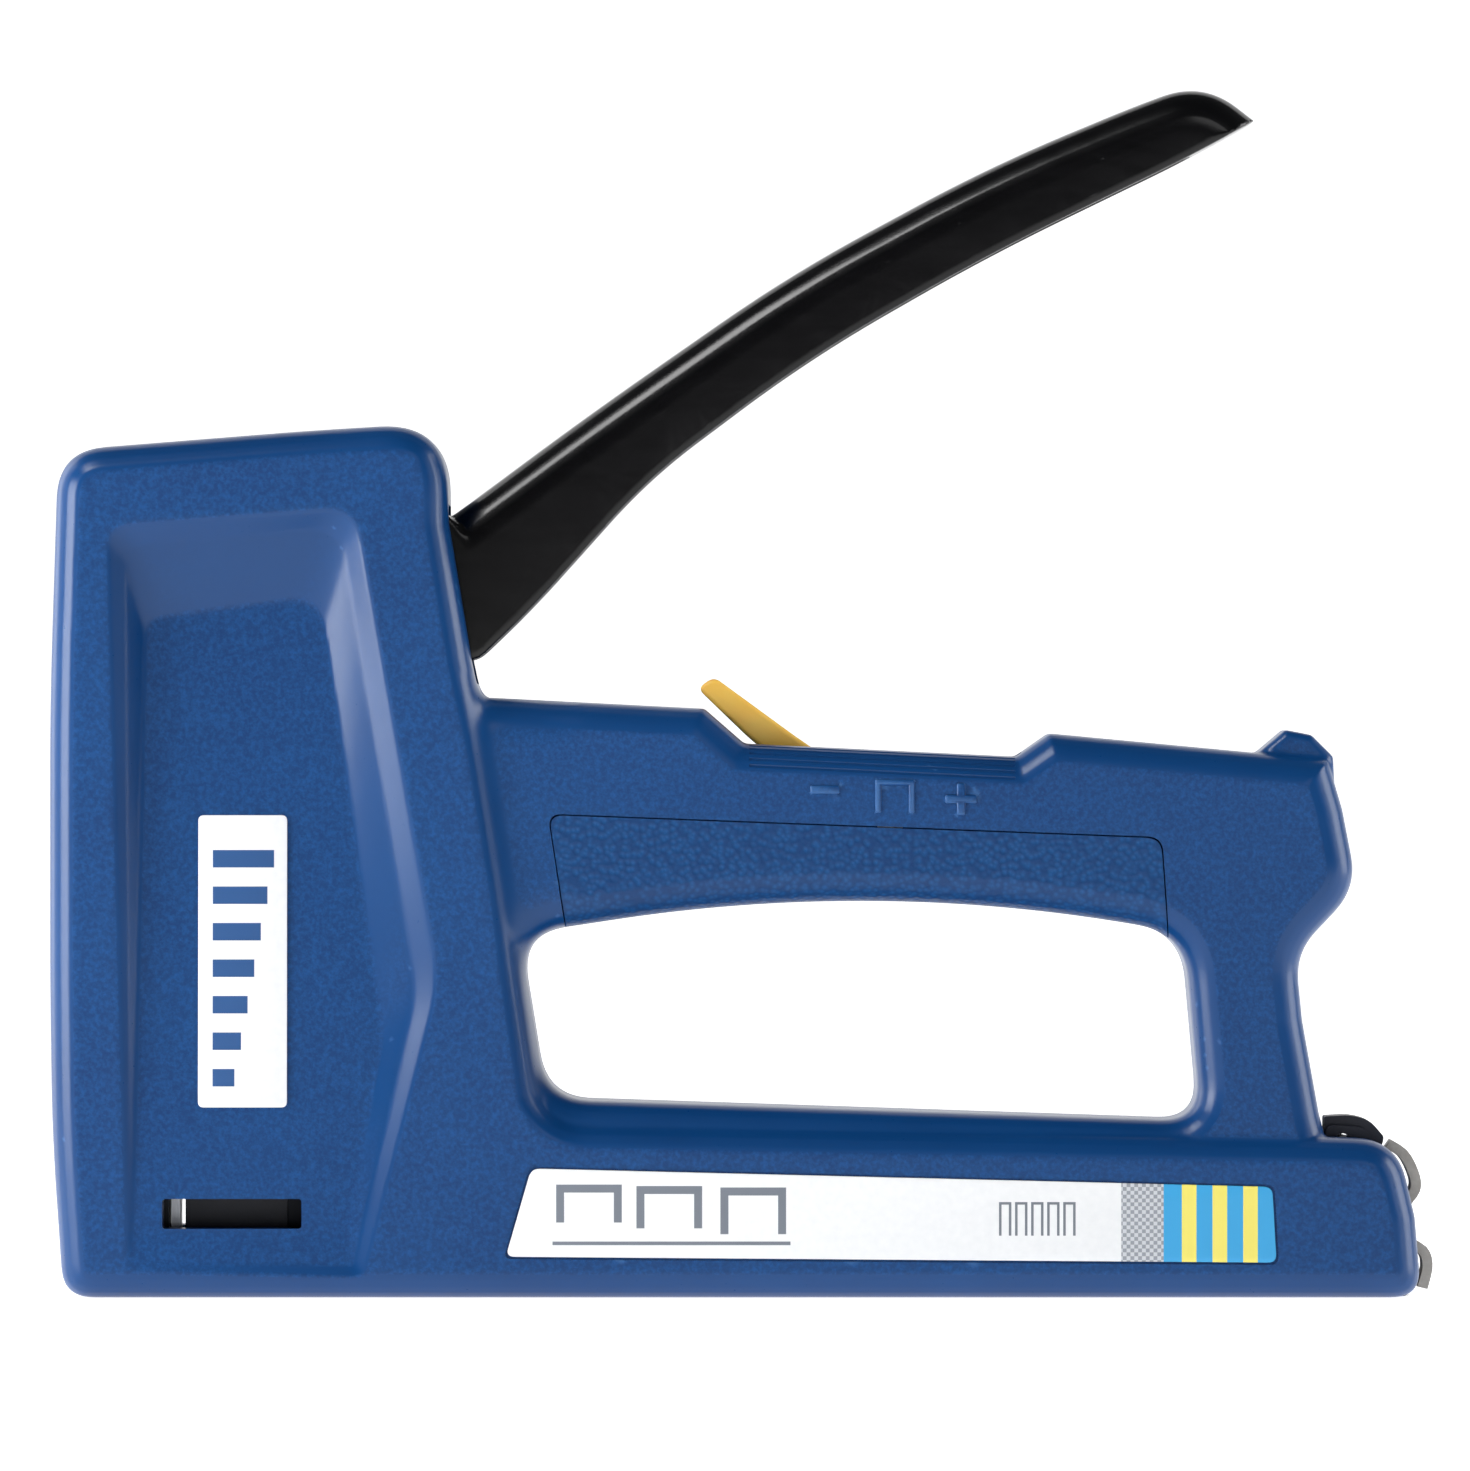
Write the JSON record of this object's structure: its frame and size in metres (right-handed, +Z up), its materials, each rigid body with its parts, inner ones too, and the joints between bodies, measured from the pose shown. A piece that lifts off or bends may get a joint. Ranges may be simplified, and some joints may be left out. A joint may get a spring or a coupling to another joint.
{
  "type": "staple gun",
  "caption": "Hand staple gun with a moulded two-shell housing, squeeze lever, force adjuster tab, spring-driven striker and a magazine rail that slides out at the back.",
  "frame": {"origin": "centre of the overall box, on the plane of the base that the tool stands on", "axes": "+Z up from the base, -X towards the nose that the staples leave, +X towards the end that the magazine slides out of, Y across the tool with Y = 0 in the joint plane of the two shells"},
  "size_m": [0.19, 0.033, 0.1656],
  "materials": {
    "housing_blue": "fine grained moulded blue",
    "grip_blue": "coarse grained moulded blue",
    "lever_black": "glossy black",
    "cap_black": "satin near-black",
    "adjuster_yellow": "satin orange-yellow",
    "bumper_rubber": "matte black",
    "label_white": "satin printed film",
    "clip_steel": "grey plated",
    "spring_steel": "oiled drawn wire",
    "mechanism_steel": "zinc plated"
  },
  "bodies": {
    "housing": {"left_housing": "housing_blue", "right_housing": "housing_blue", "left_grip_panel": "grip_blue", "right_grip_panel": "grip_blue", "housing_screw_1": "mechanism_steel", "housing_screw_2": "mechanism_steel", "housing_screw_3": "mechanism_steel", "housing_screw_4": "mechanism_steel", "housing_screw_5": "mechanism_steel", "housing_screw_6": "mechanism_steel", "housing_screw_7": "mechanism_steel", "lever_pivot_pin": "mechanism_steel", "rocker_pin": "mechanism_steel", "adjuster_pin": "mechanism_steel", "striker_bumper": "bumper_rubber", "nose_plate": "mechanism_steel", "magazine_channel": "mechanism_steel", "main_spring": "spring_steel", "lever_return_spring": "spring_steel", "side_label": "label_white", "head_label": "label_white"},
    "lever": {"handle_lever": "lever_black", "lever_arm": "mechanism_steel", "lever_rivet": "mechanism_steel"},
    "striker": {"striker_blade": "mechanism_steel", "striker_carrier": "mechanism_steel"},
    "rocker": {"rocker": "mechanism_steel"},
    "push_rod": {"push_rod": "mechanism_steel"},
    "spring_seat": {"spring_seat": "mechanism_steel"},
    "adjuster": {"force_adjuster": "adjuster_yellow"},
    "magazine": {"magazine_rail": "mechanism_steel", "magazine_end_cap": "cap_black", "end_cap_pin": "mechanism_steel", "latch_pin": "mechanism_steel", "pull_clip": "clip_steel", "pusher_spring": "spring_steel", "latch_spring": "spring_steel"},
    "latch": {"magazine_latch": "cap_black"},
    "pusher": {"staple_pusher": "cap_black"}
  },
  "joints": [
    {"name": "lever_squeeze", "type": "hinge", "parent": "housing", "child": "lever", "pos_m": [-0.0456, 0, 0.101], "axis": [0, 1, 0], "range_deg": [0, 33], "stiffness_Nm_per_rad": 2, "springref_deg": -17.19, "deforming": ["lever_return_spring"]},
    {"name": "striker_stroke", "type": "slide", "parent": "housing", "child": "striker", "axis": [0, 0, 1], "range_m": [0, 0.0169]},
    {"name": "rocker_swing", "type": "hinge", "parent": "housing", "child": "rocker", "pos_m": [-0.04, 0, 0.052], "axis": [0, 1, 0], "range_deg": [0, 28]},
    {"name": "push_rod_slide", "type": "slide", "parent": "housing", "child": "push_rod", "axis": [1, 0, 0], "range_m": [0, 0.0059], "deforming": ["main_spring"]},
    {"name": "adjuster_turn", "type": "hinge", "parent": "housing", "child": "adjuster", "pos_m": [0.0203, 0, 0.065], "axis": [0, 1, 0], "range_deg": [0, 100]},
    {"name": "seat_slide", "type": "slide", "parent": "housing", "child": "spring_seat", "axis": [-1, 0, 0], "range_m": [0, 0.0027]},
    {"name": "magazine_slide", "type": "slide", "parent": "housing", "child": "magazine", "axis": [1, 0, 0], "range_m": [0, 0.1]},
    {"name": "latch_press", "type": "hinge", "parent": "magazine", "child": "latch", "pos_m": [0.0826, 0, 0.0212], "axis": [0, 1, 0], "range_deg": [0, 8], "stiffness_Nm_per_rad": 0.02, "springref_deg": -11.46, "deforming": ["latch_spring"]},
    {"name": "pusher_slide", "type": "slide", "parent": "magazine", "child": "pusher", "axis": [1, 0, 0], "range_m": [0, 0.12], "stiffness_N_per_m": 30, "springref_m": -0.06, "deforming": ["pusher_spring"]}
  ],
  "couplings": [
    {"joint": "striker_stroke", "follows": "lever_squeeze", "m_per_rad": 0.029212},
    {"joint": "rocker_swing", "follows": "lever_squeeze", "ratio": 0.84226},
    {"joint": "push_rod_slide", "follows": "lever_squeeze", "m_per_rad": 0.01012},
    {"joint": "seat_slide", "follows": "adjuster_turn", "m_per_rad": 0.0014897}
  ]
}
